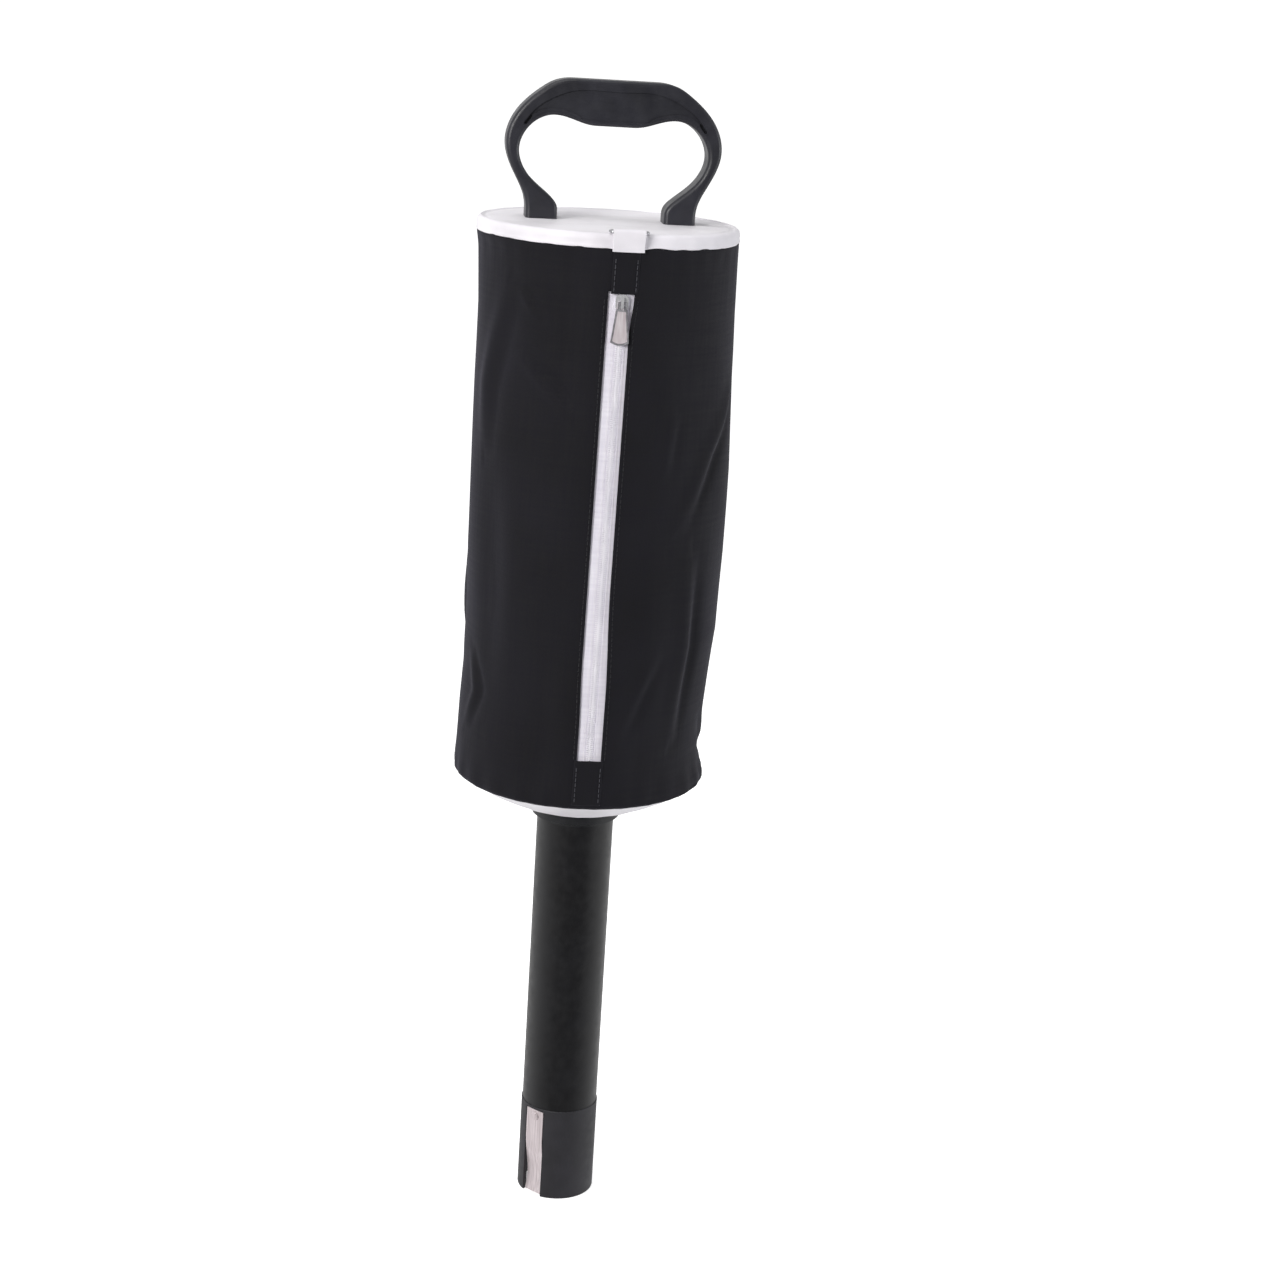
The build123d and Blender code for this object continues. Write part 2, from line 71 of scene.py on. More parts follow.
def aim_camera():
    """Right of straight ahead, looking down and rolled a little."""
    yaw, pitch, tilt = (math.radians(a) for a in CAMERA_TURNS)
    forward = Vector((math.sin(yaw) * math.cos(pitch), math.cos(yaw) * math.cos(pitch), -math.sin(pitch)))
    right = Vector((math.cos(yaw), -math.sin(yaw), 0.0))
    up = right.cross(forward)
    across = math.cos(tilt) * right + math.sin(tilt) * up
    over = -math.sin(tilt) * right + math.cos(tilt) * up
    data = bpy.data.cameras.new("camera")
    data.lens, data.sensor_width, data.clip_start, data.clip_end = CAMERA_LENS, 36.0, 0.01, 100.0
    camera = bpy.data.objects.new("camera", data)
    bpy.context.scene.collection.objects.link(camera)
    camera.matrix_world = Matrix((
        (across.x, over.x, -forward.x, CAMERA_PLACE[0]),
        (across.y, over.y, -forward.y, CAMERA_PLACE[1]),
        (across.z, over.z, -forward.z, CAMERA_PLACE[2]),
        (0.0, 0.0, 0.0, 1.0),
    ))
    bpy.context.scene.camera = camera


def area_light(name, place, target, size, watts, colour=(1.0, 1.0, 1.0)):
    data = bpy.data.lights.new(name, "AREA")
    data.shape, data.size, data.energy, data.color = "DISK", size, watts, colour
    lamp = bpy.data.objects.new(name, data)
    bpy.context.scene.collection.objects.link(lamp)
    lamp.location = place
    lamp.visible_camera = False
    lamp.rotation_euler = (Vector(target) - Vector(place)).to_track_quat("-Z", "Y").to_euler()


def srgb(red, green, blue):
    def linear(c):
        c = c / 255
        return c / 12.92 if c <= 0.04045 else ((c + 0.055) / 1.055) ** 2.4
    return (linear(red), linear(green), linear(blue), 1.0)


# ---------------------------------------------------------------- materials

class Finish:
    """A material: a principled surface with textures that vary its colour, roughness and relief."""

    def __init__(self, name, **sockets):
        self.material = bpy.data.materials.new(name)
        self.material.use_nodes = True
        self.tree = self.material.node_tree
        self.surface = self.tree.nodes["Principled BSDF"]
        self.normal = None
        for key, value in sockets.items():
            self.surface.inputs[key.replace("_", " ")].default_value = value
        self.place = self.add("ShaderNodeTexCoord").outputs["Object"]
        self.uv = self.tree.nodes[-1].outputs["UV"]

    def add(self, kind, inputs=(), **settings):
        node = self.tree.nodes.new(kind)
        for key, value in settings.items():
            setattr(node, key, value)
        for key, value in dict(inputs).items():
            self.put(node.inputs[key], value)
        return node

    def put(self, socket, value):
        if isinstance(value, bpy.types.NodeSocket):
            self.tree.links.new(value, socket)
        else:
            socket.default_value = value

    def stretched(self, scale, source=None):
        node = self.add("ShaderNodeMapping", {"Vector": source or self.place, "Scale": scale})
        return node.outputs["Vector"]

    def noise(self, scale, detail=3.0, stretch=(1, 1, 1), rough=0.5, source=None):
        inputs = {"Vector": self.stretched(stretch, source), "Scale": scale}
        inputs |= {"Detail": detail, "Roughness": rough}
        return self.add("ShaderNodeTexNoise", inputs).outputs["Fac"]

    def cells(self, scale, stretch=(1, 1, 1)):
        inputs = {"Vector": self.stretched(stretch), "Scale": scale}
        return self.add("ShaderNodeTexVoronoi", inputs, feature="SMOOTH_F1").outputs["Distance"]

    def bands(self, pitch, axis, source=None):
        """Sine bands across an axis, pitch metres apart."""
        inputs = {"Vector": source or self.uv, "Scale": 0.314159 / pitch}
        return self.add("ShaderNodeTexWave", inputs, bands_direction=axis).outputs["Fac"]

    def maths(self, kind, a, b):
        node = self.add("ShaderNodeMath", operation=kind)
        self.put(node.inputs[0], a)
        self.put(node.inputs[1], b)
        return node.outputs[0]

    def between(self, value, low, high, to_low=0.0, to_high=1.0):
        inputs = {"Value": value, "From Min": low, "From Max": high, "To Min": to_low, "To Max": to_high}
        return self.add("ShaderNodeMapRange", inputs).outputs["Result"]

    def mixed(self, share, first, second):
        node = self.add("ShaderNodeMix", data_type="RGBA")
        self.put(node.inputs[0], share)
        self.put(node.inputs[6], first)
        self.put(node.inputs[7], second)
        return node.outputs[2]

    def colour(self, value):
        self.put(self.surface.inputs["Base Color"], value)

    def roughness(self, value, low, high):
        self.put(self.surface.inputs["Roughness"], self.between(value, 0.3, 0.7, low, high))

    def relief(self, height, depth, strength=1.0):
        """depth is how far the relief stands, in millimetres."""
        inputs = {"Height": height, "Distance": depth * MM, "Strength": strength}
        node = self.add("ShaderNodeBump", inputs)
        if self.normal is not None:
            self.tree.links.new(self.normal, node.inputs["Normal"])
        self.normal = node.outputs["Normal"]
        self.tree.links.new(self.normal, self.surface.inputs["Normal"])


def moulded(name, dark, light, rough, grain, depth, scuff=0.0):
    """Plastic with a fine moulded grain, faint mottling and short scuffs."""
    f = Finish(name)
    mottle = f.between(f.noise(38, 4), 0.35, 0.65)
    f.colour(f.mixed(mottle, srgb(*dark), srgb(*light)))
    f.roughness(f.noise(160, 3), rough - 0.05, rough + 0.07)
    f.relief(f.noise(grain, 2), depth)
    if scuff:
        lines = f.between(f.noise(70, 2, (1.0, 1.0, 0.12)), 0.60, 0.66)
        f.relief(lines, scuff)
    return f.material


def brushed(name, dark, light, rough, stretch, metallic=1.0, depth=0.006):
    """Metal brushed along one axis, with faint stains."""
    f = Finish(name, Metallic=metallic)
    lines = f.noise(900, 3, stretch)
    stain = f.noise(60, 3)
    shade = f.maths("MULTIPLY", f.between(lines, 0.3, 0.7), f.between(stain, 0.3, 0.62, 0.6, 1.0))
    f.colour(f.mixed(shade, srgb(*dark), srgb(*light)))
    f.roughness(lines, rough - 0.06, rough + 0.08)
    f.relief(lines, depth)
    return f.material


def coated(name, dark, light):
    """White coated cloth: a fine pebble grain with soft handling marks."""
    f = Finish(name, Sheen_Weight=0.15, Sheen_Roughness=0.5, Specular_IOR_Level=0.4)
    marks = f.between(f.noise(26, 4), 0.38, 0.66)
    f.colour(f.mixed(marks, srgb(*light), srgb(*dark)))
    f.roughness(f.noise(90, 3), 0.42, 0.56)
    f.relief(f.cells(1500), 0.05, 0.7)
    f.relief(f.noise(240, 3), 0.06, 0.8)
    return f.material


def woven(name, dark, light, pitch, depth, sheen, slub, rough=(0.72, 0.88), tint=(1, 1, 1, 1)):
    """Plain woven cloth laid by its UVs, which are in metres."""
    f = Finish(name, Sheen_Weight=sheen, Sheen_Roughness=0.45, Sheen_Tint=tint, Specular_IOR_Level=0.22)
    warp = f.bands(pitch, "X")
    weft = f.bands(pitch, "Y")
    cross = f.maths("MAXIMUM", warp, weft)
    along = f.noise(420, 2, (1.0, 0.06, 1.0), source=f.uv)
    over = f.noise(420, 2, (0.06, 1.0, 1.0), source=f.uv)
    yarn = f.maths("ADD", f.maths("MULTIPLY", along, 0.5), f.maths("MULTIPLY", over, 0.5))
    fade = f.between(f.noise(14, 4), 0.35, 0.68, 0.0, 1.0 - slub)
    shade = f.maths("ADD", f.between(yarn, 0.35, 0.65, 0.0, slub), fade)
    f.colour(f.mixed(shade, srgb(*dark), srgb(*light)))
    f.roughness(yarn, *rough)
    f.relief(cross, depth, 0.6)
    f.relief(yarn, depth * 1.5, 0.7)
    return f.material


def metal_pull():
    """Plated die casting whose sunk panel is brushed and slightly pink."""
    f = Finish("chrome_pull", Metallic=0.6)
    depth = f.add("ShaderNodeSeparateXYZ", {"Vector": f.place}).outputs["Y"]
    panel = f.between(depth, -82.38 * MM, -82.30 * MM)
    lines = f.noise(1400, 2, (1.0, 1.0, 0.06))
    blush = f.mixed(f.between(lines, 0.3, 0.7), srgb(222, 208, 213), srgb(250, 243, 246))
    plate = f.mixed(f.between(f.noise(300, 3), 0.35, 0.7), srgb(146, 144, 150), srgb(206, 205, 210))
    f.colour(f.mixed(panel, plate, blush))
    f.put(f.surface.inputs["Roughness"], f.between(panel, 0, 1, 0.2, 0.42))
    f.relief(lines, 0.01, 0.5)
    return f.material


def white_floor():
    f = Finish("floor_white", Roughness=0.85, Specular_IOR_Level=0.1)
    f.colour(f.mixed(f.noise(3, 2), srgb(252, 252, 252), srgb(255, 255, 255)))
    f.surface.inputs["Emission Color"].default_value = (1, 1, 1, 1)
    f.surface.inputs["Emission Strength"].default_value = 0.62
    return f.material


DARK_SHEEN = srgb(150, 152, 165)
CLOTH = woven("cloth_black", (10, 9, 13), (21, 20, 27), 0.0009, 0.06, 0.2, 0.45, tint=srgb(146, 144, 165))
BINDING = woven("cloth_binding", (12, 12, 15), (21, 22, 26), 0.0009, 0.06, 0.12, 0.5, tint=DARK_SHEEN)
TAPE = woven("tape_white", (214, 210, 222), (238, 235, 243), 0.0011, 0.07, 0.2, 0.7)
WHITE = coated("coated_white", (220, 217, 223), (236, 233, 239))
NYLON = moulded("nylon_coil", (226, 224, 232), (246, 244, 249), 0.38, 900, 0.02)
TUBE = moulded("tube_gloss", (9, 8, 11), (15, 15, 19), 0.36, 900, 0.003)
NOZZLE = moulded("nozzle_matt", (30, 29, 34), (39, 38, 44), 0.55, 1100, 0.05)
COLLAR = moulded("collar_black", (16, 17, 20), (24, 25, 29), 0.42, 900, 0.03)
HANDLE = moulded("handle_satin", (26, 26, 33), (37, 37, 45), 0.42, 1300, 0.03, 0.006)
BOARD = moulded("board_grey", (104, 105, 110), (126, 127, 132), 0.6, 500, 0.04)
SPRING = brushed("spring_strip", (196, 184, 187), (236, 226, 229), 0.45, (1.0, 1.0, 0.03), 0.45)
STEEL = brushed("steel_plain", (150, 150, 154), (206, 206, 210), 0.34, (1.0, 1.0, 0.2))
CHROME = brushed("chrome_plate", (222, 222, 226), (252, 252, 254), 0.2, (1.0, 1.0, 0.5), 0.65, 0.003)
PULL = metal_pull()
THREAD_GREY = woven("thread_grey", (52, 52, 58), (74, 74, 81), 0.0004, 0.03, 0.2, 0.5)
THREAD_DARK = woven("thread_dark", (20, 20, 25), (34, 35, 40), 0.0004, 0.03, 0.3, 0.5)
THREAD_WHITE = woven("thread_white", (216, 213, 219), (240, 238, 242), 0.0004, 0.03, 0.3, 0.5)


# ---------------------------------------------------------------- mesh makers

def piece(name, points, faces, material, uvs=None):
    """A mesh piece on the bag; points are in millimetres, uvs in metres."""
    mesh = bpy.data.meshes.new(name)
    mesh.from_pydata((np.asarray(points, float) * MM).tolist(), [], [tuple(int(i) for i in f) for f in faces])
    mesh.materials.append(material)
    if uvs is not None:
        layer = mesh.uv_layers.new(name="cloth")
        corner = np.zeros(len(mesh.loops), np.int32)
        mesh.loops.foreach_get("vertex_index", corner)
        layer.data.foreach_set("uv", np.asarray(uvs, np.float32)[corner].ravel())
    mesh.shade_smooth()
    mesh.update()
    obj = bpy.data.objects.new(name, mesh)
    bpy.context.scene.collection.objects.link(obj)
    return obj


def turn_out(obj):
    """Reverse every face, so that they all face outwards."""
    for polygon in obj.data.polygons:
        polygon.flip()


def grid(rows, columns, closed=False):
    """Vertex numbers of the quads of a grid, row by row."""
    faces = []
    for r in range(rows - 1):
        for c in range(columns if closed else columns - 1):
            d = (c + 1) % columns
            faces.append((r * columns + c, r * columns + d, (r + 1) * columns + d, (r + 1) * columns + c))
    return faces


def thicken(obj, millimetres, offset):
    solid = obj.modifiers.new("thickness", "SOLIDIFY")
    solid.thickness, solid.offset, solid.use_rim = millimetres * MM, offset, True
    solid.use_even_offset = True


def soften(obj, millimetres, segments=2):
    bevel = obj.modifiers.new("edge", "BEVEL")
    bevel.width, bevel.segments = millimetres * MM, segments
    bevel.limit_method, bevel.angle_limit = "ANGLE", 0.9


def round_point(angle, radius, height):
    a = np.radians(angle)
    return np.stack(np.broadcast_arrays(radius * np.sin(a), -radius * np.cos(a), height), -1)


def ease(t):
    t = np.clip(t, 0.0, 1.0)
    return t * t * (3 - 2 * t)


def stitches(name, rows, material, long=2.6, gap=0.7, thread=0.22):
    """Rows of sewn stitches. A row is (points, outward directions), and a stitch dives in at both ends."""
    points, faces = [], []
    for line, out in rows:
        line, out = np.asarray(line, float), np.asarray(out, float)
        run = np.concatenate([[0], np.cumsum(np.linalg.norm(np.diff(line, axis=0), axis=1))])
        for start in np.arange(0.3, run[-1] - long, long + gap):
            steps = start + long * np.array([0.0, 0.12, 0.5, 0.88, 1.0])
            mid = np.stack([np.interp(steps, run, line[:, k]) for k in range(3)], 1)
            away = np.stack([np.interp(steps, run, out[:, k]) for k in range(3)], 1)
            away /= np.linalg.norm(away, axis=1)[:, None]
            along = mid[-1] - mid[0]
            along /= np.linalg.norm(along)
            side = np.cross(along, away)
            lift = thread * np.array([-0.9, 0.35, 0.6, 0.35, -0.9])
            size = thread * np.array([0.5, 0.95, 1.0, 0.95, 0.5])
            first = len(points)
            for k in range(5):
                for spoke in range(6):
                    turn = math.radians(60 * spoke)
                    ring = math.cos(turn) * side[k] + math.sin(turn) * away[k]
                    points.append(mid[k] + lift[k] * away[k] + size[k] * ring)
            faces += [tuple(first + i for i in f) for f in grid(5, 6, True)]
            faces.append(tuple(first + i for i in range(5, -1, -1)))
            faces.append(tuple(first + 24 + i for i in range(6)))
    uvs = np.asarray(points)[:, [0, 2]] * MM
    obj = piece(name, points, faces, material, uvs)
    turn_out(obj)
    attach(obj, "bag")


def roll(name, centres, radius, material, spokes=12):
    """A closed ring of rolled cloth along centres."""
    centres = np.asarray(centres, float)
    ahead = np.roll(centres, -1, 0) - np.roll(centres, 1, 0)
    ahead /= np.linalg.norm(ahead, axis=1)[:, None]
    side = np.cross(ahead, np.array([0.0, 0.0, 1.0]))
    side /= np.linalg.norm(side, axis=1)[:, None]
    up = np.cross(side, ahead)
    turns = np.radians(np.arange(spokes) * 360 / spokes)
    radius = np.broadcast_to(np.asarray(radius, float), (len(centres),))
    ring = np.cos(turns)[None, :, None] * side[:, None] + np.sin(turns)[None, :, None] * up[:, None]
    points = centres[:, None] + radius[:, None, None] * ring
    run = np.concatenate([[0], np.cumsum(np.linalg.norm(np.diff(centres, axis=0), axis=1))])
    uvs = np.stack(np.broadcast_arrays(run[:, None], (turns * radius.mean())[None]), -1).reshape(-1, 2) * MM
    faces = grid(len(centres), spokes, True)
    last = (len(centres) - 1) * spokes
    faces += [(last + i, last + (i + 1) % spokes, (i + 1) % spokes, i) for i in range(spokes)]
    obj = piece(name, points.reshape(-1, 3), faces, material, uvs)
    turn_out(obj)
    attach(obj, "bag")
    return obj


# ---------------------------------------------------------------- the bag's cloth

def zip_angle(z):
    """The zipper leans a little: its line's angle at a height."""
    return np.degrees(np.arcsin(ZIP_SHIFT * (z - ZIP_MIDDLE) / ((ZIP_TOP - ZIP_BOTTOM) / 2) / BAG_RADIUS))


def crease(angle, z, path, height, width, hollow=0.6):
    """A soft ridge along a path of (angle, height) points, with a hollow beside it; both ends fade."""
    x = angle * math.radians(BAG_RADIUS)
    path = [(a * math.radians(BAG_RADIUS), h) for a, h in path]
    lengths = [math.dist(p, q) for p, q in zip(path, path[1:])]
    best = np.full(np.shape(x), 1e9)
    side = np.zeros(np.shape(x))
    place = np.zeros(np.shape(x))
    done = 0.0
    for (p, q, length) in zip(path, path[1:], lengths):
        ex, ez = (q[0] - p[0]) / length, (q[1] - p[1]) / length
        t = (x - p[0]) * ex + (z - p[1]) * ez
        inside = np.clip(t, 0, length)
        dx, dz = x - p[0] - inside * ex, z - p[1] - inside * ez
        d = np.hypot(dx, dz)
        nearer = d < best
        side = np.where(nearer, np.sign(dx * -ez + dz * ex) * d, side)
        place = np.where(nearer, (done + inside) / sum(lengths), place)
        best = np.where(nearer, d, best)
        done += length
    fade = np.sin(np.pi * np.clip(0.06 + 0.88 * place, 0, 1)) ** 0.8
    fade = fade * np.exp(-np.maximum(best / width - 1.5, 0))
    ridge = np.exp(-(side / width) ** 2)
    valley = np.exp(-((side - 1.5 * width) / (1.1 * width)) ** 2)
    return FOLD_DEPTH * height * fade * (ridge - hollow * valley)


def seam_height(angle):
    """The seam under the white cover dips below the tab and rises beside it."""
    tab = TAB_X / math.radians(BAG_RADIUS)
    dip = -0.9 * np.exp(-((angle - tab) / 7.5) ** 4)
    rise = 0.9 * np.exp(-((angle - tab - 13) / 5.0) ** 2)
    wave = 0.14 * np.sin(np.radians(5 * angle + 40)) + 0.07 * np.sin(np.radians(11 * angle))
    return SEAM + dip + rise + wave


def bag_surface(angle, z):
    """Outer radius of the bag's cloth at an angle and height."""
    heights = [299, 304, 312, 322, 345, 370, 400, 450, 505, 555, 600, 633, 646]
    means = [80.4, 80.5, 79.2, 78.4, 78.3, 78.6, 80.2, 80.9, 80.7, 80.1, 79.3, 79.7, 80.4]
    mean = np.interp(z, heights, means)
    shift = np.interp(z, heights, [-0.3, -0.5, -1.4, -1.6, -0.5, 1.7, 3.4, 3.4, 3.2, 2.2, 1.5, 0.7, 0.0])
    a = np.radians(angle)
    loose = mean + shift * np.sin(a)
    loose = loose + 0.5 * np.sin(3 * a + 0.9 + z / 70) * np.sin((z - HEM) / 55)
    loose = loose + 0.35 * np.sin(5 * a - z / 41 + 2.0) + 0.22 * np.sin(9 * a + z / 23)
    loose = loose + crease(angle, z, [(-54, 612), (-60, 586), (-66, 556), (-68, 520)], 1.7, 8.0, 0.7)
    loose = loose + crease(angle, z, [(-45, 614), (-36, 602)], 0.9, 3.2, 0.9)
    loose = loose + crease(angle, z, [(-43, 575), (-30, 560), (-14, 539)], 1.3, 4.2, 0.9)
    loose = loose + crease(angle, z, [(-58, 505), (-57, 430), (-55, 350)], -1.2, 12.0, 0.3)
    loose = loose + crease(angle, z, [(73, 562), (50, 522), (34, 478)], 1.6, 6.0, 0.9)
    loose = loose + crease(angle, z, [(28, 545), (25, 512)], 1.0, 4.0, 0.8)
    loose = loose + crease(angle, z, [(41, 455), (41.5, 398), (39, 342)], 2.1, 6.5, 1.0)
    loose = loose + crease(angle, z, [(26, 397), (18, 370), (9, 343)], 1.2, 4.5, 0.8)
    loose = loose + crease(angle, z, [(-73, 381), (-65, 360), (-72, 338)], 1.2, 4.5, 0.8)
    loose = loose + crease(angle, z, [(68, 345), (78, 325), (92, 312)], -1.4, 5.0, 0.4)
    for a0, z0, a1, z1, h, w in (
        (118, 600, 135, 540, 1.6, 6.0), (150, 520, 141, 440, 1.5, 7.0), (-120, 575, -138, 520, 1.6, 6.0),
        (-98, 430, -112, 370, 1.4, 6.0), (176, 470, 168, 390, 1.6, 7.0), (-160, 400, -150, 335, 1.3, 5.0),
        (108, 420, 100, 355, 1.5, 6.0), (-168, 610, -172, 560, 1.1, 5.0),
    ):
        loose = loose + crease(angle, z, [(a0, z0), ((a0 + a1) / 2 + 2, (z0 + z1) / 2), (a1, z1)], h, w, 0.8)
    gather = 0.28 * np.sin(37 * a + 1.3 * np.sin(3 * a)) * np.exp(-np.maximum(SEAM - z, 0) / 9)
    pucker = 0.35 * np.sin(29 * a + 1.1 * np.sin(4 * a)) * np.exp(-np.maximum(z - 306, 0) / 8)
    loose = loose + gather + pucker
    reach = np.abs(angle - zip_angle(z)) * math.radians(BAG_RADIUS)
    held = 1 - ease((reach - 13.5) / 20)
    sewn = np.maximum(ease((z - 638) / 6), 0)
    radius = loose + (BAG_RADIUS - loose) * np.clip(np.maximum(held, 0.85 * sewn), 0, 1)
    at_hoop = np.clip(1 - np.abs(z - 302) / 5, 0, 1)
    return np.maximum(radius, 75.8 + 4.1 * ease(2 * at_hoop))


def window_flare(reach, z):
    """How far the window's edges wander: the right one comes in above the foot and opens at the top."""
    right = 1.8 * ease((z - 592) / 26) - 1.9 * ease((z - 370) / 70)
    left = -0.8 * ease((z - 350) / 40)
    near_right = np.exp(-((reach - WINDOW) / 9) ** 2) * (reach > 0)
    near_left = np.exp(-((reach + WINDOW) / 9) ** 2) * (reach < 0)
    return right * near_right + left * near_left


def make_bag():
    """The cloth wall with its window for the zipper and its hem turned under."""
    half = math.pi * BAG_RADIUS
    beside = np.linspace(WINDOW, 36, 20)
    rest = np.linspace(36, 2 * half - 36, 226)[1:-1]
    inside = np.linspace(-WINDOW, WINDOW, 9)[1:-1]
    reach = np.concatenate([beside, rest, 2 * half - beside[::-1], 2 * half + inside])
    low = np.linspace(HEM + 0.6, ZIP_BOTTOM, 15)
    middle = np.linspace(ZIP_BOTTOM, ZIP_TOP, 140)
    high = np.linspace(ZIP_TOP, SEAM + 0.6, 13)
    z = np.concatenate([low, middle[1:], high[1:]])
    curl = [(80.35, 300.1), (80.15, 299.6), (79.75, 299.25), (79.2, 299.15), (78.6, 299.3), (78.1, 299.6)]
    signed = np.where(reach > half, reach - 2 * half, reach)
    spread = signed[None] + window_flare(signed[None], z[:, None])
    top_stretch = np.clip((z[:, None] - 625) / (SEAM - 625), 0, 1)
    angle = zip_angle(z)[:, None] + np.degrees(spread / BAG_RADIUS)
    angle = (angle + 180) % 360 - 180
    height = z[:, None] + top_stretch * (seam_height(angle) - SEAM)
    points = round_point(angle, bag_surface(angle, height), height)
    under = [round_point(angle[0], r + 0.25 * np.sin(np.radians(29 * angle[0])), h) for r, h in curl]
    points = np.concatenate([np.stack(under[::-1]), points])
    rows, columns = points.shape[:2]
    faces = []
    first, last = len(curl) + len(low) - 1, len(curl) + len(low) - 1 + len(middle) - 1
    shut = len(reach) - len(inside) - 1
    for number, face in enumerate(grid(rows, columns, True)):
        row, column = divmod(number, columns)
        if first <= row < last and column >= shut:
            continue
        faces.append(face)
    heights = np.concatenate([z[0] - np.arange(len(curl), 0, -1) * 1.2, z])
    uvs = np.stack(np.broadcast_arrays(reach[None], heights[:, None]), -1).reshape(-1, 2) * MM
    used = sorted({i for f in faces for i in f})
    renumber = {old: new for new, old in enumerate(used)}
    flat = points.reshape(-1, 3)[used]
    obj = piece("bag_cloth", flat, [[renumber[i] for i in f] for f in faces], CLOTH, uvs[used])
    thicken(obj, CLOTH_THICKNESS, -1.0)
    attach(obj, "bag")
    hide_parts("bag_wall")
    return obj


def strip(name, reaches, heights, radius, material, thick, centre=0.0):
    """A strip of cloth that follows the zipper's line; radius is a function of reach and height."""
    reaches, heights = np.asarray(reaches, float), np.asarray(heights, float)
    angle = zip_angle(heights)[:, None] + np.degrees((reaches[None] + centre) / BAG_RADIUS)
    distance = radius(reaches[None], heights[:, None])
    points = round_point(angle, distance, heights[:, None]).reshape(-1, 3)
    uvs = np.stack(np.broadcast_arrays(reaches[None], heights[:, None]), -1).reshape(-1, 2) * MM
    obj = piece(name, points, grid(len(heights), len(reaches)), material, uvs)
    thicken(obj, thick, -1.0)
    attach(obj, "bag")
    return obj


def row_up(reach, low, high, lift=0.0, wander=False):
    """A line of points beside the zipper, with its outward directions."""
    z = np.arange(low, high, 1.5)
    if wander:
        reach = reach + window_flare(reach, z)
    angle = zip_angle(z) + np.degrees(reach / BAG_RADIUS)
    return round_point(angle, BAG_RADIUS + lift, z), round_point(angle, np.ones(len(z)), 0 * z)


def make_plackets():
    """The strips of cloth above and below the zipper, and the rows of stitches beside it."""
    def folded(half):
        def radius(reach, z):
            edge = np.clip((np.abs(reach) - half + 1.6) / 1.6, 0, 1)
            swell = 0.18 * np.exp(-((np.abs(reach) - half + 3.2) / 1.3) ** 2)
            return 81.15 - 0.45 * edge ** 2 + swell + 0.10 * np.sin(z / 3.1 + reach / 2.0)
        return radius
    across, up = np.linspace(-8, 8, 23), np.linspace(617.9, 642.6, 22)
    upper = strip("placket_top", across, up, folded(8.0), CLOTH, 0.6, 1.1)
    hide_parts("placket_upper")
    across, up = np.linspace(-9, 9, 25), np.linspace(301.5, 330.6, 24)
    lower = strip("placket_foot", across, up, folded(9.0), CLOTH, 0.6)
    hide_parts("placket_lower")
    light = [row_up(r, 618.8, 641.5, 0.9) for r in (-5.3, 7.5)]
    light += [row_up(r, 303.5, 329.8, 0.9) for r in (-7.3, 7.3)]
    stitches("placket_stitches", light, THREAD_GREY, thread=0.26)
    dark = [row_up(r, 331, 617, 0.05, True) for r in (-WINDOW - 2.0, WINDOW + 2.2)]
    stitches("window_stitches", dark, THREAD_DARK)


def make_zipper():
    """Both tapes with a raised cord beside the coil, the coils and the tape's stitches."""
    for side, name, node in ((-1, "tape_l", "zipper_tape_left"), (1, "tape_r", "zipper_tape_right")):
        def radius(reach, z):
            cord = 0.22 * np.exp(-((np.abs(reach) - 3.1) / 0.5) ** 2)
            return TAPE_FACE + cord + 0.05 * np.sin(z / 5.0 + side)
        reaches = side * np.linspace(0.7, 13.0, 34)
        reaches = reaches if side > 0 else reaches[::-1]
        tape = strip(name, reaches, np.linspace(321.5, 627.0, 150), radius, TAPE, 0.55)
        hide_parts(node)
        make_coil(side)
    rows = [row_up(r, 331, 618, TAPE_FACE - BAG_RADIUS + 0.1) for r in (-3.6, 3.6)]
    stitches("tape_stitches", rows, THREAD_WHITE, 2.2, 0.6, 0.16)


def make_coil(side):
    """One side's nylon coil: a flattened helix whose inner turns bulge where the two sides lock."""
    pitch, steps, wire, spokes = 1.25, 14, 0.29, 6
    turns = int((618.7 - 330.0) / pitch)
    t = np.arange(turns * steps + 1) / steps
    z = 330.2 + t * pitch + (pitch / 2 if side > 0 else 0.0)
    phase = 2 * np.pi * t
    reach = side * (0.95 + 1.05 * np.cos(phase))
    distance = TAPE_FACE + 0.66 + 0.33 * np.sin(phase)
    angle = zip_angle(z) + np.degrees(reach / BAG_RADIUS)
    line = round_point(angle, distance, z)
    ahead = np.gradient(line, axis=0)
    ahead /= np.linalg.norm(ahead, axis=1)[:, None]
    out = round_point(angle, np.ones(len(z)), 0 * z)
    side_way = np.cross(ahead, out)
    side_way /= np.linalg.norm(side_way, axis=1)[:, None]
    over = np.cross(side_way, ahead)
    turn = np.radians(np.arange(spokes) * 360 / spokes)
    bulge = wire * (1 + 0.18 * np.clip(-np.cos(phase), 0, 1))
    ring = np.cos(turn)[None, :, None] * side_way[:, None] + np.sin(turn)[None, :, None] * over[:, None]
    points = (line[:, None] + bulge[:, None, None] * ring).reshape(-1, 3)
    faces = grid(len(z), spokes, True)
    faces += [tuple(range(spokes))[::-1], tuple((len(z) - 1) * spokes + i for i in range(spokes))]
    name = "coil_l" if side < 0 else "coil_r"
    obj = piece(name, points, faces, NYLON)
    turn_out(obj)
    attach(obj, "bag")
    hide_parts("zipper_coil_left" if side < 0 else "zipper_coil_right")


# ---------------------------------------------------------------- the white ends

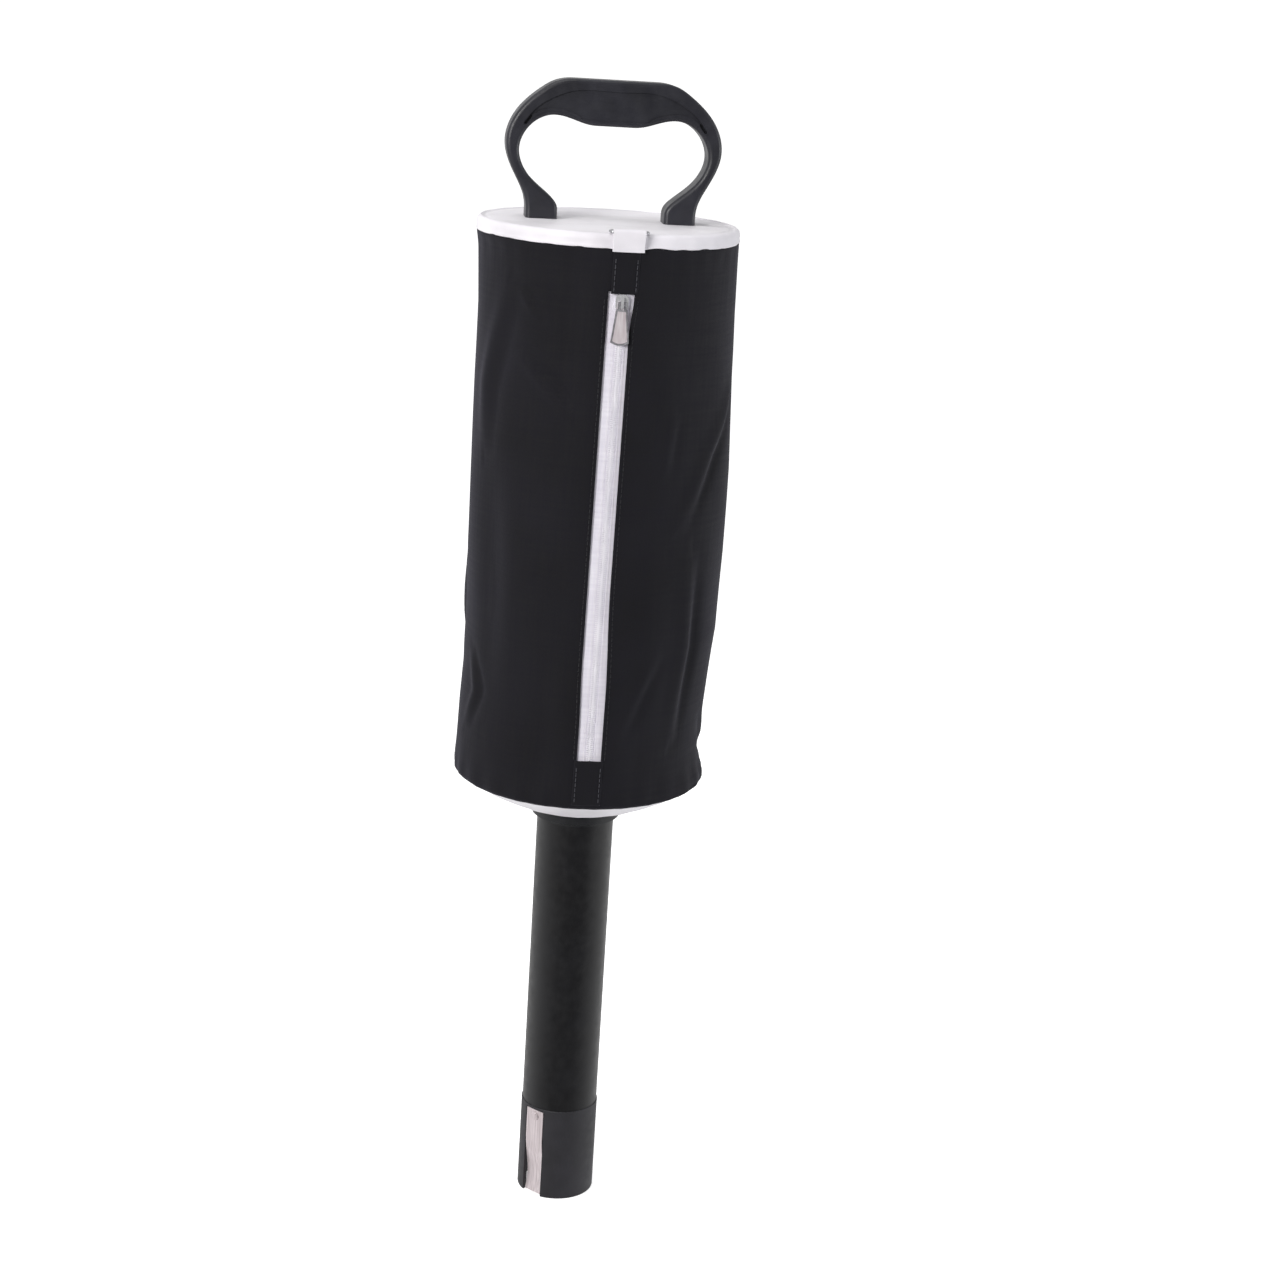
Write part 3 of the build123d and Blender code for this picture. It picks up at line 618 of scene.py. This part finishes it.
def make_top_cover():
    """The cover over the board: a slack disc, a rounded rim and a gathered band down to the seam."""
    angle = np.linspace(-180, 180, 361)[:-1]
    a = np.radians(angle)
    wave = 0.5 * np.sin(23 * a + 1.2 * np.sin(2 * a)) + 0.5 * np.sin(31 * a + 2.0)
    field = np.concatenate([np.linspace(2, 70, 30), np.linspace(71.2, 77.2, 11)])
    rows = []
    for r in field:
        x, y = r * np.sin(a), -r * np.cos(a)
        near_foot = np.minimum(np.hypot(np.abs(x) - 42.3, y * 0.9), 40)
        free = ease((near_foot - 14) / 12)
        groove = -0.75 * np.exp(-((r - 75.6) / 1.3) ** 2)
        sag = -0.5 * free * (0.5 + 0.5 * np.sin(2 * a + r / 19)) * ease(r / 30)
        fold = -0.9 * np.exp(-((y + 1 + 0.10 * (x - 52)) / 3.2) ** 2)
        fold = fold * ease((x - 55) / 6) * ease((79 - x) / 5)
        ridge = 0.35 * np.exp(-((y - 4 + 0.12 * (x - 52)) / 2.2) ** 2)
        ridge = ridge * ease((x - 57) / 6) * ease((75 - x) / 6)
        surface = COVER_TOP + groove + sag + np.minimum(fold + ridge, 0.1)
        rows.append(round_point(angle, r, np.maximum(surface, 651.5)))
    for turn in (12, 30, 50, 70, 90):
        t = math.radians(turn)
        r = 77.4 + 3.0 * math.sin(t) + 0.12 * wave * math.sin(t)
        rows.append(round_point(angle, r, 649.5 + 3.0 * math.cos(t) + 0.06 * wave))
    bottom = seam_height(angle)
    for share, radius in ((0.25, 80.5), (0.5, 80.35), (0.75, 80.5), (0.92, 80.7), (1.0, 80.45)):
        height = 649.5 + share * (bottom + 0.15 - 649.5)
        rows.append(round_point(angle, radius + (0.14 + 0.16 * share) * wave, height))
    rows.append(round_point(angle, 79.6, bottom + 0.35))
    points = np.concatenate([[[0.0, 0.0, COVER_TOP]], np.concatenate(rows)])
    columns = len(angle)
    faces = [(0, 1 + (i + 1) % columns, 1 + i) for i in range(columns)]
    faces += [tuple(1 + i for i in f) for f in grid(len(rows), columns, True)]
    uvs = points[:, :2] * MM
    obj = piece("cover_top", points, faces, WHITE, uvs)
    turn_out(obj)
    thicken(obj, CLOTH_THICKNESS, -1.0)
    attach(obj, "bag")
    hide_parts("top_cover")


def cone_height(share):
    """Height of the cone's cloth, share of the way out from its seat; it bellies down a little."""
    return CONE_BOTTOM + CONE_RISE * share - CONE_BELLY * np.sin(np.pi * share)


def make_cone():
    """The cone that closes the bottom, its seam and the rolled hem round it."""
    angle = np.linspace(-180, 180, 361)[:-1]
    a = np.radians(angle)
    rows = []
    for r in np.concatenate([np.linspace(27.6, 29.4, 4), np.linspace(31, 78.6, 34)]):
        share = max(0.0, (r - CONE_SEAT) / CONE_REACH)
        fold = np.sin(21 * a + 1.6 * np.sin(3 * a)) + 0.6 * np.sin(34 * a + 1.1)
        pucker = 0.42 * share ** 1.5 * fold
        rows.append(round_point(angle, r, cone_height(share) + pucker * (1 - ease((r - 66) / 7))))
    points = np.concatenate(rows)
    uvs = points[:, :2] * MM
    obj = piece("cone_cover", points, grid(len(rows), len(angle), True), WHITE, uvs)
    thicken(obj, CLOTH_THICKNESS, -1.0)
    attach(obj, "bag")
    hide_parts("bottom_cover")
    seam = []
    for side in (-1.6, 1.6):
        r = np.arange(38, 74, 1.5)
        height = cone_height((r - CONE_SEAT) / CONE_REACH) - 0.15
        line = round_point(178 + np.degrees(side / r), r, height)
        seam.append((line, np.tile([0.0, 0.46, -0.89], (len(r), 1))))
    stitches("cone_stitches", seam, THREAD_WHITE, thread=0.24)
    lumps = 0.62 + 0.07 * np.sin(29 * a) + 0.04 * np.sin(53 * a)
    hem = roll("hem_roll", round_point(angle, 78.6, 299.05), lumps, BINDING)
    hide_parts("bottom_piping")


def make_tab():
    """The folded tab: up against the cover, over the ring's bar and down its front to the seam."""
    path = [(-81.25, 642.3), (-81.2, 644.5), (-81.1, 648.0), (-80.98, 651.4)]
    for turn in range(0, 181, 18):
        t = math.radians(turn)
        path.append((RING_Y + 1.62 * math.cos(t), RING_Z + 1.62 * math.sin(t)))
    path += [(-84.15, 651.6), (-83.85, 649.2), (-83.2, 646.8), (-82.6, 644.6), (-82.3, 642.3)]
    path = np.asarray(path)
    across = np.linspace(-9.5, 9.5, 21)
    rise = ease((path[:, 1] - 643) / 9)
    bend = BAG_RADIUS - np.sqrt(BAG_RADIUS ** 2 - (TAB_X + across) ** 2)
    x = TAB_X + across[None] * (1 + 0.02 * np.sin(path[:, 1:] / 4))
    y = path[:, :1] + bend[None] * (1 - rise[:, None])
    lip = 0.12 * np.cos(across / 2.9)[None] * rise[:, None]
    z = path[:, 1:] + lip + 0 * across[None]
    points = np.stack([x + 0 * z, y, z], -1).reshape(-1, 3)
    run = np.concatenate([[0], np.cumsum(np.linalg.norm(np.diff(path, axis=0), axis=1))])
    uvs = np.stack(np.broadcast_arrays(across[None], run[:, None]), -1).reshape(-1, 2) * MM
    obj = piece("tab_loop", points, grid(len(path), len(across)), WHITE, uvs)
    thicken(obj, 0.75, 0.0)
    soften(obj, 0.22)
    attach(obj, "bag")
    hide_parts("ring_tab")


# ---------------------------------------------------------------- the whole scene

def dress_cad():
    """Give each CAD node that shows its material."""
    finishes = {
        "tube": TUBE, "nozzle": NOZZLE, "tube_collar": COLLAR, "clamp_ring": COLLAR, "tube_socket": COLLAR,
        "handle": HANDLE, "top_board": BOARD, "leaf_spring_1": SPRING, "leaf_spring_2": SPRING,
        "leaf_rivets": SPRING, "bottom_hoop": STEEL, "socket_screws": STEEL, "handle_screws": STEEL,
        "handle_washers": STEEL, "zipper_slider": CHROME, "zipper_pull": PULL, "d_ring": STEEL,
        "zipper_top_stops": NYLON, "zipper_bottom_stop": NYLON,
    }
    for name, material in finishes.items():
        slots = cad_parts[name].data.materials
        if not slots:
            slots.append(material)
        for i in range(len(slots)):
            slots[i] = material


def make_stage():
    """Floor with a curved back, world and lamps."""
    points, faces = [], []
    profile = [(-4.0, 0.0), (2.2, 0.0)]
    bend = [math.radians(turn) for turn in range(10, 91, 10)]
    profile += [(2.2 + 1.2 * math.sin(t), 1.2 - 1.2 * math.cos(t)) for t in bend]
    profile += [(3.4, 5.0)]
    for y, z in profile:
        points += [(-5000, y * 1000, z * 1000 - 0.3), (5000, y * 1000, z * 1000 - 0.3)]
    faces = grid(len(profile), 2)
    mesh = bpy.data.meshes.new("floor")
    mesh.from_pydata([(x * MM, y * MM, z * MM) for x, y, z in points], [], faces)
    mesh.materials.append(white_floor())
    mesh.shade_smooth()
    floor = bpy.data.objects.new("floor", mesh)
    bpy.context.scene.collection.objects.link(floor)
    floor.visible_diffuse = False
    floor.visible_glossy = False
    bpy.context.scene.world = studio_world()
    bpy.context.scene.view_settings.view_transform = "Standard"
    area_light("key", (-1.5, -1.9, 1.3), (0.0, 0.0, 0.45), 1.0, 48, (1.0, 0.985, 0.97))
    area_light("top", (-0.5, -0.3, 2.3), (0.0, 0.0, 0.6), 1.3, 11)
    area_light("fill", (2.0, -1.0, 0.6), (0.0, 0.0, 0.35), 1.0, 17, (0.96, 0.98, 1.0))


def studio_world():
    """A white room: back, sides and floor are bright, the front is dim, and the camera sees plain white."""
    world = bpy.data.worlds.new("studio")
    world.use_nodes = True
    tree = world.node_tree
    room = tree.nodes["Background"]
    way = tree.nodes.new("ShaderNodeTexCoord")
    split = tree.nodes.new("ShaderNodeSeparateXYZ")
    level = tree.nodes.new("ShaderNodeMapRange")
    plain = tree.nodes.new("ShaderNodeBackground")
    path = tree.nodes.new("ShaderNodeLightPath")
    mix = tree.nodes.new("ShaderNodeMixShader")
    tree.links.new(way.outputs["Generated"], split.inputs[0])
    below = tree.nodes.new("ShaderNodeMapRange")
    beside = tree.nodes.new("ShaderNodeMapRange")
    sideways = tree.nodes.new("ShaderNodeMath")
    back_and_floor = tree.nodes.new("ShaderNodeMath")
    all_sides = tree.nodes.new("ShaderNodeMath")
    sideways.operation = "ABSOLUTE"
    tree.links.new(split.outputs["X"], sideways.inputs[0])
    tree.links.new(sideways.outputs[0], beside.inputs["Value"])
    tree.links.new(split.outputs["Y"], level.inputs["Value"])
    tree.links.new(split.outputs["Z"], below.inputs["Value"])
    for key, value in {"From Min": -0.3, "From Max": 0.8, "To Min": 0.18, "To Max": 0.85}.items():
        level.inputs[key].default_value = value
    for key, value in {"From Min": -0.55, "From Max": -0.85, "To Min": 0.0, "To Max": 1.1}.items():
        below.inputs[key].default_value = value
    for key, value in {"From Min": 0.55, "From Max": 0.95, "To Min": 0.0, "To Max": 0.42}.items():
        beside.inputs[key].default_value = value
    tree.links.new(level.outputs["Result"], back_and_floor.inputs[0])
    tree.links.new(below.outputs["Result"], back_and_floor.inputs[1])
    tree.links.new(back_and_floor.outputs[0], all_sides.inputs[0])
    tree.links.new(beside.outputs["Result"], all_sides.inputs[1])
    tree.links.new(all_sides.outputs[0], room.inputs["Strength"])
    room.inputs["Color"].default_value = (1.0, 1.0, 1.0, 1.0)
    plain.inputs["Color"].default_value = (1.0, 1.0, 1.0, 1.0)
    tree.links.new(path.outputs["Is Camera Ray"], mix.inputs[0])
    tree.links.new(room.outputs[0], mix.inputs[1])
    tree.links.new(plain.outputs[0], mix.inputs[2])
    tree.links.new(mix.outputs[0], tree.nodes["World Output"].inputs["Surface"])
    return world


aim_camera()
make_stage()
dress_cad()
bag = make_bag()
make_plackets()
make_zipper()
make_top_cover()
make_cone()
make_tab()
